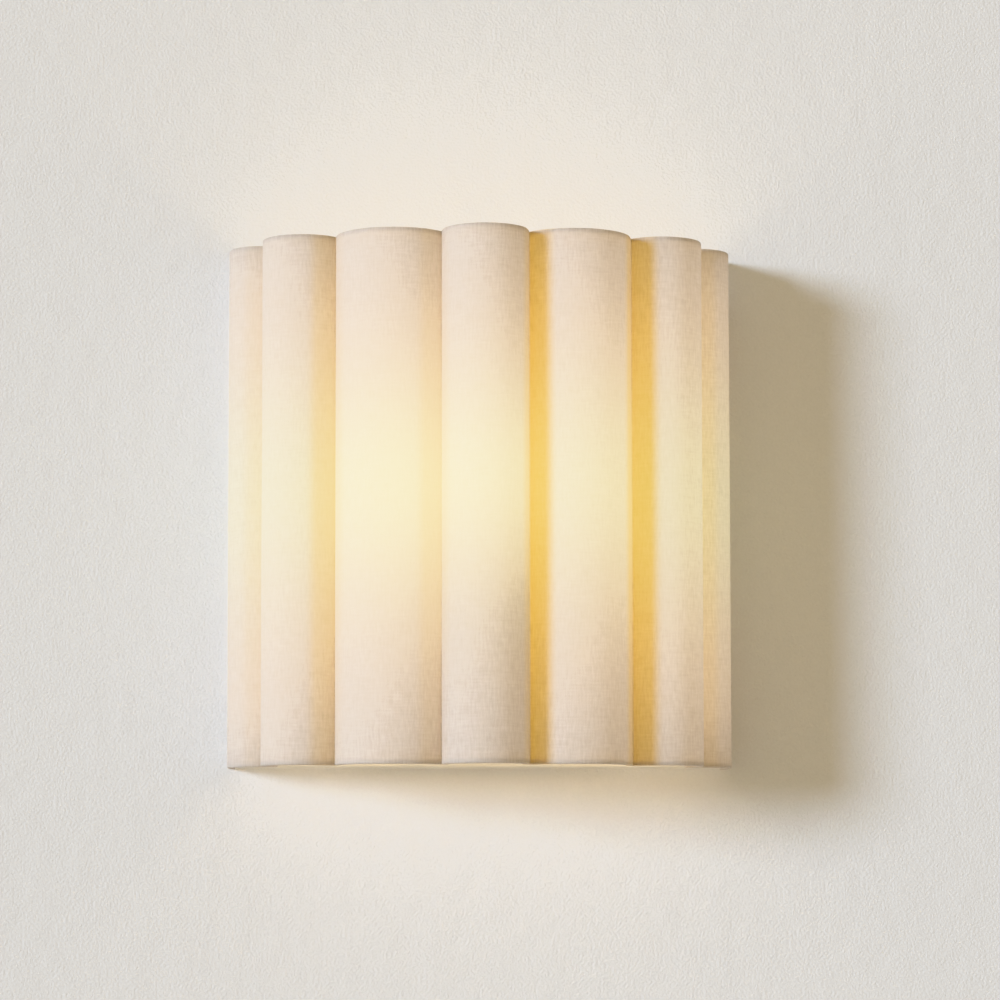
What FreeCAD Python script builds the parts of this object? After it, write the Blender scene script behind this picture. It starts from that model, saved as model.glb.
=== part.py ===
import FreeCAD, Part
import math
import os

# Wall light with a scalloped fabric shade. Millimetres, +Z up.
# The wall is the plane Y = 0, the light stands out of it towards -Y, and the
# origin is the middle between the two junction box screws.

os.makedirs("parts", exist_ok=True)
V = FreeCAD.Vector
UP = V(0, 0, 1)
OUT = V(0, -1, 0)            # away from the wall

# ---------------------------------------------------------------- shade form
# "out" is a distance from the wall. Each lobe is part of an upright cylinder,
# and neighbours cut into each other by their overlap, which makes the valleys.
shade_height = 309.0
shade_wall_gap = 2.0
front_lobe_radius = 25.5
front_lobe_out = 100.0
broad_lobe_radius = 34.3
broad_lobe_out = 76.0
corner_lobe_radius = 24.7
corner_lobe_out = 60.0
side_lobe_radius = 21.0
side_lobe_out = 24.0
front_broad_overlap = 2.3
broad_corner_overlap = 3.9
corner_side_overlap = 2.4

linen_thickness = 0.4
glue_gap = 0.1
liner_thickness = 0.6
liner_edge_gap = 0.5         # the liner stops short of the linen's rims

# --------------------------------------------------------------- shade frame
ring_wire_radius = 1.5
rib_wire_radius = 1.25
weld_gap = 0.1
ring_back_out = 5.0          # the rings' straight back wire
ring_corner_radius = 5.0
hem_thickness = 0.4
hem_depth = 9.0
hem_end_gap = 1.0
bar_spread = 236.0           # between the centre lines of the two back bars
bar_height = 12.0
bar_thickness = 1.5
bar_standoff = 2.5           # from the pan's face to the bar
bar_crank_run = 12.0
bar_pan_margin = 8.0

# ------------------------------------------------------------- strap and pan
box_screw_spacing = 88.9     # 3 1/2 in, the usual wall box
slot_width = 4.6
slot_length = 11.0
strap_end_margin = 7.0       # strap beyond the slot
strap_width = 20.0
strap_thickness = 2.5
strap_stud_spacing = 62.0
strap_centre_hole_radius = 5.2
stud_radius = 2.0
thread_clearance = 0.05
lock_nut_flats = 7.0
lock_nut_height = 3.0
ground_screw_place = 15.0    # from the strap's middle
ground_head_radius = 3.6
ground_head_height = 2.4
ground_slot_width = 0.8
ground_slot_depth = 1.0

pan_width = 116.0
pan_height = 260.0
pan_depth = 16.0
pan_sheet = 1.0
pan_corner_radius = 10.0
pan_edge_radius = 3.0
pan_hole_clearance = 0.4
cap_nut_flats = 8.0
cap_nut_skirt = 5.0
cap_nut_bore_depth = 8.0
cap_nut_clearance = 0.1
cap_nut_wall = 1.2
stud_tip_gap = 1.0
shade_stud_reach = 17.0      # out of the pan's face
shade_stud_flange_radius = 4.0
shade_stud_flange = 1.2

# ---------------------------------------------------------------------- lamp
lamp_out = 62.0
bulb_centre_height = 11.0
bulb_radius = 30.0
bulb_glass = 0.8
bulb_neck_radius = 14.0
bulb_neck_sweep = 45.0
lamp_length = 108.0
cap_radius = 13.1
cap_height = 24.0
cap_wall = 1.2
cap_thread_pitch = 3.6
cap_thread_depth = 0.8
cap_turns = 5
lamp_button_radius = 4.8
lamp_button_height = 2.0
lamp_insulator_height = 3.0
lamp_insulator_waist = 6.5

# ---------------------------------------------------------------- lampholder
lamp_running_gap = 0.4
screw_shell_wall = 0.6
screw_shell_height = 25.0
screw_shell_window = 8.0     # hole in the shell's floor round the contact
holder_shell_gap = 0.3
holder_wall = 3.6
holder_height = 41.0
holder_floor = 13.0
holder_rim_chamfer = 1.0
holder_flute_count = 16
holder_flute_radius = 1.0
contact_width = 7.0
contact_sheet = 0.6
contact_rise = 6.0
contact_half_foot = 6.0
contact_half_top = 1.6
contact_slope_run = 2.2
contact_gap = 0.1
nipple_radius = 4.9
nipple_bore_radius = 3.5
nipple_length = 19.0
nipple_in_holder = 6.0
nipple_nut_flats = 14.0
nipple_nut_height = 4.0
bracket_width = 22.0
bracket_sheet = 1.5
bracket_bend_radius = 2.0
bracket_back_height = 40.0
bracket_front_margin = 14.0
bracket_corner_radius = 5.0
rivet_radius = 2.0
rivet_head_radius = 3.8
rivet_head_height = 1.2
rivet_spacing = 18.0
rivet_top_margin = 9.0

# -------------------------------------------------------------------- wiring
lead_radius = 1.1
lead_apart = 3.2
lead_bend = 5.0
lead_inner_bend = 4.0
lead_drop = 0.5              # straight below the nipple before the bend
grommet_wall = 1.4
grommet_bore_margin = 0.3
grommet_clearance = 0.1
grommet_flange_width = 1.8
grommet_flange = 1.4
block_width = 22.0
block_height = 16.0
block_depth = 9.0
block_rise = 6.8             # from the leads' run to the block
block_screw_radius = 2.2
block_screw_head = 1.0
block_screw_drop = 4.5

# ---------------------------------------------------------------- thumb nuts
thumb_nut_radius = 8.5
thumb_nut_length = 9.0
thumb_nut_grooves = 28
thumb_nut_groove_radius = 0.55
thumb_nut_chamfer = 0.8
thumb_nut_neck_radius = 3.3
thumb_nut_neck_clearance = 0.2
thumb_nut_lip_radius = 4.4
thumb_nut_bore_clearance = 0.3
thumb_nut_gap = 0.3

# ---------------------------------------------------------------- worked out
shade_top = shade_height / 2
liner_offset = linen_thickness + glue_gap
wall_sheet = liner_offset + liner_thickness
ring_offset = wall_sheet + weld_gap + ring_wire_radius
rib_offset = wall_sheet + weld_gap + rib_wire_radius
hem_outer_offset = wall_sheet + weld_gap
hem_inner_offset = ring_offset + ring_wire_radius + weld_gap
ring_height = shade_top - hem_thickness - weld_gap - ring_wire_radius
upright_out = ring_back_out + ring_corner_radius
rib_half_length = ring_height - ring_wire_radius - weld_gap
bar_out = pan_depth + bar_standoff

lamp_tip = bulb_centre_height + bulb_radius - lamp_length
cap_bottom = lamp_tip + lamp_button_height + lamp_insulator_height
cap_top = cap_bottom + cap_height
holder_floor_top = lamp_tip - contact_gap - contact_rise
holder_base = holder_floor_top - holder_floor
screw_shell_radius = cap_radius + lamp_running_gap + screw_shell_wall
holder_bore_radius = screw_shell_radius + holder_shell_gap
holder_radius = holder_bore_radius + holder_wall
nipple_end = holder_base + nipple_in_holder - nipple_length
lead_run_height = nipple_end - lead_drop - lead_bend
grommet_bore_radius = lead_apart / 2 + lead_radius + grommet_bore_margin
grommet_hole_radius = grommet_bore_radius + grommet_wall
bracket_top = holder_base + bracket_back_height
rivet_heights = [bracket_top - rivet_top_margin,
                 bracket_top - rivet_top_margin - rivet_spacing]
block_bottom = lead_run_height + block_rise
block_middle_out = pan_depth - pan_sheet - block_depth / 2
thumb_nut_bore_radius = stud_radius + thumb_nut_bore_clearance


# ------------------------------------------------------------- small helpers
def save(name, shape):
    """Write one node and say how many solids it holds."""
    shape.exportStep("parts/%s.step" % name)
    print(name, len(shape.Solids), "solids", round(shape.Volume, 1), "mm3")


def rod(radius, length, start, direction=UP):
    return Part.makeCylinder(radius, length, start, direction)


def prism(flats, length, start, direction=UP):
    """Hexagonal prism, measured across its flats."""
    corner = flats / math.sqrt(3)
    points = [V(corner * math.cos(math.radians(60 * i)), corner * math.sin(math.radians(60 * i)), 0)
              for i in range(7)]
    body = Part.Face(Part.makePolygon(points)).extrude(V(0, 0, length))
    body.Placement = FreeCAD.Placement(start, FreeCAD.Rotation(UP, direction))
    return body


def block(low, high):
    size = high - low
    return Part.makeBox(size.x, size.y, size.z, low)


def turned(points, start=V(0, 0, 0), direction=UP):
    """Solid of revolution from (radius, height) points, closed to a ring or to the axis."""
    outline = [V(r, 0, h) for r, h in points]
    body = Part.Face(Part.makePolygon(outline + outline[:1])).revolve(V(0, 0, 0), UP, 360)
    body.Placement = FreeCAD.Placement(start, FreeCAD.Rotation(UP, direction))
    return body


def ribbon(points, thickness):
    """Closed outline of a bent strip from its centre line points (x, y)."""
    sides = []
    for side in (1, -1):
        row = []
        for i, point in enumerate(points):
            before = points[max(i - 1, 0)]
            after = points[min(i + 1, len(points) - 1)]
            a = V(point[0] - before[0], point[1] - before[1], 0)
            b = V(after[0] - point[0], after[1] - point[1], 0)
            a = b if a.Length == 0 else a
            b = a if b.Length == 0 else b
            a.normalize()
            b.normalize()
            across = V(-a.y - b.y, a.x + b.x, 0)
            across.normalize()
            reach = thickness / 2 / (across.x * -a.y + across.y * a.x)
            row.append(V(point[0], point[1], 0) + across * (reach * side))
        sides.append(row)
    return sides[0] + sides[1][::-1]


def fused(pieces):
    return pieces[0].multiFuse(pieces[1:]) if len(pieces) > 1 else pieces[0]


# -------------------------------------------------------------- scallop path
def lobes():
    """Lobe circles (x, y, radius) from the left side round the front to the right."""
    def step(reach, out_a, out_b):
        return math.sqrt(reach ** 2 - (out_a - out_b) ** 2)

    broad_x = step(front_lobe_radius + broad_lobe_radius - front_broad_overlap,
                   front_lobe_out, broad_lobe_out)
    corner_x = broad_x + step(broad_lobe_radius + corner_lobe_radius - broad_corner_overlap,
                              broad_lobe_out, corner_lobe_out)
    side_x = corner_x + step(corner_lobe_radius + side_lobe_radius - corner_side_overlap,
                             corner_lobe_out, side_lobe_out)
    right = [
        (broad_x, -broad_lobe_out, broad_lobe_radius),
        (corner_x, -corner_lobe_out, corner_lobe_radius),
        (side_x, -side_lobe_out, side_lobe_radius),
    ]
    left = [(-x, y, r) for x, y, r in reversed(right)]
    return left + [(0.0, -front_lobe_out, front_lobe_radius)] + right


LOBES = lobes()
half_width = LOBES[-1][0] + side_lobe_radius


def valley(a, b):
    """Where two neighbouring lobes meet on the front."""
    dx, dy = b[0] - a[0], b[1] - a[1]
    apart = math.hypot(dx, dy)
    along = (apart ** 2 + a[2] ** 2 - b[2] ** 2) / (2 * apart)
    rise = math.sqrt(a[2] ** 2 - along ** 2)
    return V(a[0] + (dx * along + dy * rise) / apart, a[1] + (dy * along - dx * rise) / apart, 0)


VALLEYS = [valley(a, b) for a, b in zip(LOBES, LOBES[1:])]


def heading(centre, point):
    return math.degrees(math.atan2(point.y - centre[1], point.x - centre[0]))


def lobe_angles(index):
    """Start and end of a lobe's arc in degrees, counted up round the front."""
    lobe = LOBES[index]
    start = -180.0 if index == 0 else heading(lobe, VALLEYS[index - 1])
    end = 0.0 if index == len(LOBES) - 1 else heading(lobe, VALLEYS[index])
    return (start - 360.0 if start > end else start), end


def on_circle(x, y, radius, angle):
    return V(x + radius * math.cos(math.radians(angle)), y + radius * math.sin(math.radians(angle)), 0)


def straight(start, end):
    return ("line", start, end)


def bend(x, y, radius, start, end):
    return ("arc", (x, y, radius), start, end)


def lobe_run(index, offset, back_out):
    """Path pieces of one lobe, this far inside the shade's outer face."""
    x, y, radius = LOBES[index]
    start, end = lobe_angles(index)
    pieces = [bend(x, y, radius - offset, start, end)]
    if index == 0:
        side = -half_width + offset
        pieces.insert(0, straight(V(side, -back_out, 0), V(side, y, 0)))
    if index == len(LOBES) - 1:
        side = half_width - offset
        pieces.append(straight(V(side, y, 0), V(side, -back_out, 0)))
    return pieces


def scallop_run(offset, back_out):
    """Path pieces of the whole scalloped wall from back edge to back edge."""
    pieces = []
    for index in range(len(LOBES)):
        pieces += lobe_run(index, offset, back_out)
        if index < len(VALLEYS) and offset > 0:
            point = VALLEYS[index]
            leave = lobe_angles(index)[1] + 180.0
            meet = lobe_angles(index + 1)[0] + 180.0
            while meet > leave:
                meet -= 360.0
            while meet < leave - 360.0:
                meet += 360.0
            pieces.append(bend(point.x, point.y, offset, leave, meet))
    return pieces


def ends(piece):
    if piece[0] == "line":
        return piece[1], piece[2]
    x, y, radius = piece[1]
    return on_circle(x, y, radius, piece[2]), on_circle(x, y, radius, piece[3])


def edge(piece):
    first, last = ends(piece)
    if piece[0] == "line":
        return Part.LineSegment(first, last).toShape()
    x, y, radius = piece[1]
    middle = on_circle(x, y, radius, (piece[2] + piece[3]) / 2)
    return Part.Arc(first, middle, last).toShape()


def wall_between(outer, inner, bottom, top):
    """Upright sheet between two runs of path pieces."""
    closing = [
        Part.LineSegment(ends(outer[-1])[1], ends(inner[-1])[1]).toShape(),
        Part.LineSegment(ends(inner[0])[0], ends(outer[0])[0]).toShape(),
    ]
    loose = [edge(piece) for piece in outer] + [edge(piece) for piece in inner] + closing
    face = Part.Face(Part.Wire(Part.__sortEdges__(loose)))
    body = face.extrude(V(0, 0, top - bottom))
    body.translate(V(0, 0, bottom))
    return body


def wire_along(pieces, radius, height):
    """Round wire along flat path pieces."""
    lengths = []
    for piece in pieces:
        first, last = ends(piece)
        if piece[0] == "line":
            lengths.append(rod(radius, (last - first).Length, first, last - first))
            continue
        x, y, bend_radius = piece[1]
        turn = piece[3] - piece[2]
        along = V(-(first.y - y), first.x - x, 0) * math.copysign(1, turn)
        disc = Part.Face(Part.Wire(Part.makeCircle(radius, first, along)))
        lengths.append(disc.revolve(V(x, y, 0), UP * math.copysign(1, turn), abs(turn)))
    body = fused(lengths)
    body.translate(V(0, 0, height))
    return body


# ---------------------------------------------------------------- shade parts
def linen_cover():
    """One sheet of linen laid over all the lobes."""
    return wall_between(scallop_run(0.0, shade_wall_gap),
                        scallop_run(linen_thickness, shade_wall_gap), -shade_top, shade_top)


def liner(index):
    """Stiff translucent strip behind one lobe of the linen."""
    reach = shade_top - liner_edge_gap
    return wall_between(lobe_run(index, liner_offset, shade_wall_gap),
                        lobe_run(index, wall_sheet, shade_wall_gap), -reach, reach)


def hem(side):
    """Linen turned in over a ring; side is 1 at the top and -1 at the bottom."""
    back = upright_out + hem_end_gap
    outer = scallop_run(hem_outer_offset, back)
    middle = scallop_run(hem_inner_offset, back)
    inner = scallop_run(hem_inner_offset + hem_thickness, back)
    rim = shade_top * side
    flange = sorted([rim, rim - hem_thickness * side])
    band = sorted([rim, rim - hem_depth * side])
    return wall_between(outer, inner, *flange).fuse(wall_between(middle, inner, *band)).removeSplitter()


def ring(side):
    """Scalloped wire ring, closed by a straight wire along the wall."""
    x = half_width - ring_offset
    corner_x = x - ring_corner_radius
    pieces = scallop_run(ring_offset, upright_out)
    pieces.append(bend(corner_x, -upright_out, ring_corner_radius, 0.0, 90.0))
    pieces.append(straight(V(corner_x, -ring_back_out, 0), V(-corner_x, -ring_back_out, 0)))
    pieces.append(bend(-corner_x, -upright_out, ring_corner_radius, 90.0, 180.0))
    return wire_along(pieces, ring_wire_radius, ring_height * side)


def valley_rib(index):
    """Upright wire in the fold between two lobes."""
    point = VALLEYS[index]
    inward = V(0, 0, 0)
    for lobe in (LOBES[index], LOBES[index + 1]):
        towards = V(lobe[0], lobe[1], 0) - point
        inward = inward + towards.normalize()
    place = point + inward.normalize() * rib_offset
    return rod(rib_wire_radius, 2 * rib_half_length, place + UP * -rib_half_length)


def back_upright(side):
    x = side * (half_width - ring_offset)
    return rod(rib_wire_radius, 2 * rib_half_length, V(x, -upright_out, -rib_half_length))


def back_bar(side):
    """Cranked flat bar between the back uprights, with a hole for its thumb nut."""
    end_x = half_width - ring_offset - rib_wire_radius - weld_gap
    inner_x = pan_width / 2 + bar_pan_margin
    half = [(inner_x + bar_crank_run, -upright_out), (end_x, -upright_out)]
    front = -(bar_out + bar_thickness / 2)
    points = [(-x, y) for x, y in reversed(half)] + [(-inner_x, front), (inner_x, front)] + half
    outline = ribbon(points, bar_thickness)
    body = Part.Face(Part.makePolygon(outline + outline[:1])).extrude(V(0, 0, bar_height))
    middle = side * bar_spread / 2
    body.translate(V(0, 0, middle - bar_height / 2))
    hole = rod(thumb_nut_neck_radius + thumb_nut_neck_clearance, bar_out + 2 * bar_thickness,
               V(0, 0, middle), OUT)
    return body.cut(hole)


def thumb_nut(side):
    """Captive knurled nut: a spool whose lip is spread behind the back bar."""
    lip_back = pan_depth + thumb_nut_gap
    lip_front = bar_out - thumb_nut_gap
    head_back = bar_out + bar_thickness + thumb_nut_gap
    head_front = head_back + thumb_nut_length
    points = [
        (thumb_nut_bore_radius, lip_back),
        (thumb_nut_lip_radius, lip_back),
        (thumb_nut_lip_radius, lip_front - thumb_nut_gap),
        (thumb_nut_neck_radius, lip_front),
        (thumb_nut_neck_radius, head_back),
        (thumb_nut_radius - thumb_nut_chamfer, head_back),
        (thumb_nut_radius, head_back + thumb_nut_chamfer),
        (thumb_nut_radius, head_front - thumb_nut_chamfer),
        (thumb_nut_radius - thumb_nut_chamfer, head_front),
        (thumb_nut_bore_radius, head_front),
    ]
    place = V(0, 0, side * bar_spread / 2)
    body = turned(points, place, OUT)
    grooves = []
    for i in range(thumb_nut_grooves):
        angle = 2 * math.pi * i / thumb_nut_grooves
        middle = place + V(math.cos(angle), 0, math.sin(angle)) * thumb_nut_radius
        grooves.append(rod(thumb_nut_groove_radius, thumb_nut_length, middle + OUT * head_back, OUT))
    return body.cut(Part.makeCompound(grooves))


# ------------------------------------------------------------ wall side parts
def wall_strap():
    """Flat bar that the two box screws hold against the wall box."""
    half = (box_screw_spacing + slot_length) / 2 + strap_end_margin
    body = block(V(-half, -strap_thickness, -strap_width / 2), V(half, 0, strap_width / 2))
    body = body.makeFillet(strap_width / 4, [e for e in body.Edges if along_y(e)])
    slot_half = (slot_length - slot_width) / 2
    for side in (-1, 1):
        middle = side * box_screw_spacing / 2
        slot = block(V(middle - slot_half, -strap_thickness, -slot_width / 2),
                     V(middle + slot_half, 0, slot_width / 2))
        for end in (-1, 1):
            slot = slot.fuse(rod(slot_width / 2, strap_thickness, V(middle + end * slot_half, 0, 0), OUT))
        body = body.cut(slot)
        body = body.cut(rod(stud_radius + thread_clearance, strap_thickness,
                            V(side * strap_stud_spacing / 2, 0, 0), OUT))
    body = body.cut(rod(strap_centre_hole_radius, strap_thickness, V(0, 0, 0), OUT))
    return body.cut(rod(stud_radius + thread_clearance, strap_thickness,
                        V(ground_screw_place, 0, 0), OUT))


def along_y(edge_shape):
    """True for a straight edge that stands square to the wall."""
    first, last = edge_shape.Vertexes[0].Point, edge_shape.Vertexes[-1].Point
    return abs(first.x - last.x) < 1e-6 and abs(first.z - last.z) < 1e-6


def strap_places():
    return [V(side * strap_stud_spacing / 2, 0, 0) for side in (-1, 1)]


def strap_studs():
    length = pan_depth + cap_nut_bore_depth - stud_tip_gap
    return Part.makeCompound([rod(stud_radius, length, place, OUT) for place in strap_places()])


def strap_lock_nuts():
    nuts = []
    for place in strap_places():
        seat = place + OUT * strap_thickness
        bore = rod(stud_radius + thread_clearance, lock_nut_height, seat, OUT)
        nuts.append(prism(lock_nut_flats, lock_nut_height, seat, OUT).cut(bore))
    return Part.makeCompound(nuts)


def ground_screw():
    place = V(ground_screw_place, 0, 0)
    head_front = strap_thickness + ground_head_height
    body = turned([(0, 0), (stud_radius, 0), (stud_radius, strap_thickness),
                   (ground_head_radius, strap_thickness), (ground_head_radius, head_front),
                   (0, head_front)], place, OUT)
    slot = block(V(place.x - ground_head_radius, -head_front, -ground_slot_width / 2),
                 V(place.x + ground_head_radius, -head_front + ground_slot_depth, ground_slot_width / 2))
    return body.cut(slot)


def tray(inset):
    """Shallow box on the wall with rounded corners, inset all round."""
    body = block(V(-pan_width / 2 + inset, -pan_depth + inset, -pan_height / 2 + inset),
                 V(pan_width / 2 - inset, 0, pan_height / 2 - inset))
    body = body.makeFillet(pan_corner_radius - inset, [e for e in body.Edges if along_y(e)])
    front = [e for e in body.Edges if abs(e.BoundBox.YMax + pan_depth - inset) < 1e-6]
    return body.makeFillet(pan_edge_radius - inset, front)


def back_pan():
    """Pressed steel pan that covers the wall box and carries the light."""
    body = tray(0.0).cut(tray(pan_sheet))
    holes = [(place, stud_radius + pan_hole_clearance) for place in strap_places()]
    holes += [(V(0, 0, side * bar_spread / 2), stud_radius + thread_clearance) for side in (-1, 1)]
    holes += [(V(0, 0, height), rivet_radius + thread_clearance) for height in rivet_heights]
    holes.append((V(0, 0, lead_run_height), grommet_hole_radius))
    for place, radius in holes:
        body = body.cut(rod(radius, 2 * pan_sheet, place + OUT * (pan_depth - 1.5 * pan_sheet), OUT))
    return body


def pan_cap_nuts():
    """Domed nuts that hold the pan on the strap's studs."""
    radius = stud_radius + cap_nut_clearance
    crown = cap_nut_bore_depth + cap_nut_wall
    dome = cap_nut_flats / 2 - pan_hole_clearance
    nuts = []
    for place in strap_places():
        seat = place + OUT * pan_depth
        skirt = prism(cap_nut_flats, cap_nut_skirt, seat, OUT)
        neck = rod(dome, crown - dome / 2 - cap_nut_skirt, seat + OUT * cap_nut_skirt, OUT)
        cap = Part.makeSphere(dome, seat + OUT * (crown - dome / 2))
        cap = cap.common(rod(dome, dome / 2, seat + OUT * (crown - dome / 2), OUT))
        bore = rod(radius, cap_nut_bore_depth, seat, OUT)
        nuts.append(skirt.fuse(neck).fuse(cap).cut(bore))
    return Part.makeCompound(nuts)


def shade_studs():
    """Pressed-in studs that the shade's back bars hang on."""
    inner = pan_depth - pan_sheet
    tip = pan_depth + shade_stud_reach
    points = [(0, inner - shade_stud_flange), (shade_stud_flange_radius, inner - shade_stud_flange),
              (shade_stud_flange_radius, inner), (stud_radius, inner),
              (stud_radius, tip - stud_radius / 2), (stud_radius / 2, tip), (0, tip)]
    return Part.makeCompound([turned(points, V(0, 0, side * bar_spread / 2), OUT) for side in (-1, 1)])


def lamp_bracket():
    """Bent steel angle that carries the lampholder."""
    back_y = -(pan_depth + bracket_sheet / 2)
    low = holder_base - bracket_sheet / 2
    points = [(-(lamp_out + bracket_front_margin), low), (back_y, low), (back_y, bracket_top)]
    outline = [V(-bracket_width / 2, p.x, p.y) for p in ribbon(points, bracket_sheet)]
    body = Part.Face(Part.makePolygon(outline + outline[:1])).extrude(V(bracket_width, 0, 0))

    def corner_edges(shape, y, z):
        return [e for e in shape.Edges
                if abs(e.BoundBox.YMin - y) + abs(e.BoundBox.YMax - y)
                + abs(e.BoundBox.ZMin - z) + abs(e.BoundBox.ZMax - z) < 1e-3]

    half = bracket_sheet / 2
    body = body.makeFillet(bracket_bend_radius + bracket_sheet,
                           corner_edges(body, back_y + half, low - half))
    body = body.makeFillet(bracket_bend_radius, corner_edges(body, back_y - half, low + half))
    tip_y = -(lamp_out + bracket_front_margin)
    tip = [e for e in body.Edges if abs(e.BoundBox.YMax - tip_y) < 1e-3 and e.BoundBox.ZLength > half]
    body = body.makeFillet(bracket_corner_radius, tip)
    for height in rivet_heights:
        body = body.cut(rod(rivet_radius + thread_clearance, 2 * bracket_sheet,
                            V(0, back_y + bracket_sheet, height), OUT))
    return body.cut(rod(nipple_radius + thread_clearance, 2 * bracket_sheet,
                        V(0, -lamp_out, low - bracket_sheet)))


def bracket_rivets():
    inner = pan_depth - pan_sheet
    outer = pan_depth + bracket_sheet
    points = [(0, inner - rivet_head_height), (rivet_head_radius, inner - rivet_head_height),
              (rivet_head_radius, inner), (rivet_radius, inner), (rivet_radius, outer),
              (rivet_head_radius, outer), (rivet_head_radius * 0.7, outer + rivet_head_height),
              (0, outer + rivet_head_height)]
    return Part.makeCompound([turned(points, V(0, 0, height), OUT) for height in rivet_heights])


# --------------------------------------------------------- lampholder and lamp
LAMP_AXIS = V(0, -lamp_out, 0)


def socket_body():
    """Moulded cup of the lampholder, screwed on the nipple."""
    top = holder_base + holder_height
    bore = nipple_radius + thread_clearance
    ceiling = holder_base + nipple_in_holder
    points = [(bore, holder_base), (holder_radius - holder_rim_chamfer, holder_base),
              (holder_radius, holder_base + holder_rim_chamfer),
              (holder_radius, top - holder_rim_chamfer), (holder_radius - holder_rim_chamfer, top),
              (holder_bore_radius, top), (holder_bore_radius, holder_floor_top),
              (0, holder_floor_top), (0, ceiling), (bore, ceiling)]
    body = turned(points, LAMP_AXIS)
    flutes = []
    for i in range(holder_flute_count):
        angle = 2 * math.pi * (i + 0.5) / holder_flute_count
        place = LAMP_AXIS + V(math.cos(angle), math.sin(angle), 0) * (holder_radius + holder_flute_radius / 2)
        start = place + UP * (holder_base + holder_floor / 2)
        flutes.append(rod(holder_flute_radius, holder_height / 2, start))
    return body.cut(Part.makeCompound(flutes))


def socket_screw_shell():
    low = holder_floor_top
    inner = screw_shell_radius - screw_shell_wall
    points = [(screw_shell_window, low), (screw_shell_radius, low),
              (screw_shell_radius, low + screw_shell_height), (inner, low + screw_shell_height),
              (inner, low + screw_shell_wall), (screw_shell_window, low + screw_shell_wall)]
    return turned(points, LAMP_AXIS)


def socket_contact():
    """Bridge-shaped brass contact under the lamp's button."""
    low = contact_sheet / 2
    top = contact_rise - contact_sheet / 2
    foot = contact_half_top + contact_slope_run
    half = [(contact_half_top, top), (foot, low), (contact_half_foot, low)]
    points = [(-x, z) for x, z in reversed(half)] + half
    outline = [V(p.x, -lamp_out - contact_width / 2, holder_floor_top + p.y)
               for p in ribbon(points, contact_sheet)]
    return Part.Face(Part.makePolygon(outline + outline[:1])).extrude(V(0, contact_width, 0))


def holder_nipple():
    tube = rod(nipple_radius, nipple_length, LAMP_AXIS + UP * nipple_end)
    return tube.cut(rod(nipple_bore_radius, nipple_length, LAMP_AXIS + UP * nipple_end))


def nipple_nut():
    seat = LAMP_AXIS + UP * (holder_base - bracket_sheet - nipple_nut_height)
    bore = rod(nipple_radius + thread_clearance, nipple_nut_height, seat)
    return prism(nipple_nut_flats, nipple_nut_height, seat).cut(bore)


def lamp_cap():
    """Screw cap with rounded thread turns."""
    root = cap_radius - cap_thread_depth
    lip = cap_height - cap_turns * cap_thread_pitch
    points = [(cap_radius - cap_wall - cap_thread_depth, cap_bottom), (root, cap_bottom)]
    for turn in range(cap_turns):
        low = cap_bottom + turn * cap_thread_pitch
        points += [(root, low + cap_thread_pitch * 0.2), (cap_radius, low + cap_thread_pitch * 0.45),
                   (cap_radius, low + cap_thread_pitch * 0.7), (root, low + cap_thread_pitch * 0.95)]
    points += [(root, cap_top - lip * 0.6), (cap_radius, cap_top - lip * 0.4), (cap_radius, cap_top),
               (cap_radius - cap_wall - cap_thread_depth, cap_top)]
    return turned(points, LAMP_AXIS)


def lamp_insulator():
    low = cap_bottom - lamp_insulator_height
    wide = cap_radius - cap_thread_depth
    return turned([(0, low), (lamp_insulator_waist, low), (wide, cap_bottom), (0, cap_bottom)], LAMP_AXIS)


def lamp_button():
    rim = lamp_button_radius
    return turned([(0, lamp_tip), (rim * 0.6, lamp_tip), (rim, lamp_tip + lamp_button_height / 2),
                   (rim, lamp_tip + lamp_button_height), (0, lamp_tip + lamp_button_height)], LAMP_AXIS)


def bulb_outline(inset):
    """Edges of the bulb from the crown to the neck, inset from its outer face."""
    sphere = bulb_radius - inset
    sweep = bulb_neck_sweep + inset
    neck = bulb_neck_radius - inset
    sweep_x = bulb_neck_radius + bulb_neck_sweep
    fall = math.sqrt((bulb_radius + bulb_neck_sweep) ** 2 - sweep_x ** 2)
    centre = V(0, 0, bulb_centre_height)
    sweep_centre = V(sweep_x, 0, bulb_centre_height - fall)
    between = (sweep_centre - centre).normalize()
    touch = centre + between * sphere
    lean = math.atan2(between.z, between.x)
    high = (math.pi / 2 + lean) / 2
    crown = centre + UP * sphere
    shoulder = centre + V(math.cos(high), 0, math.sin(high)) * sphere
    neck_point = V(neck, 0, sweep_centre.z)
    waist = sweep_centre + (touch + neck_point - sweep_centre * 2).normalize() * sweep
    foot = V(cap_radius - cap_thread_depth - inset, 0, cap_top)
    edges = [Part.Arc(crown, shoulder, touch).toShape(), Part.Arc(touch, waist, neck_point).toShape(),
             Part.LineSegment(neck_point, foot).toShape()]
    return edges, crown, foot


def lamp_glass():
    """Pear-shaped glass with a thin wall, seated on the cap."""
    outer, outer_crown, outer_foot = bulb_outline(0.0)
    inner, inner_crown, inner_foot = bulb_outline(bulb_glass)
    closing = [Part.LineSegment(outer_crown, inner_crown).toShape(),
               Part.LineSegment(outer_foot, inner_foot).toShape()]
    face = Part.Face(Part.Wire(Part.__sortEdges__(outer + inner + closing)))
    body = face.revolve(V(0, 0, 0), UP, 360)
    body.translate(LAMP_AXIS)
    return body


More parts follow.
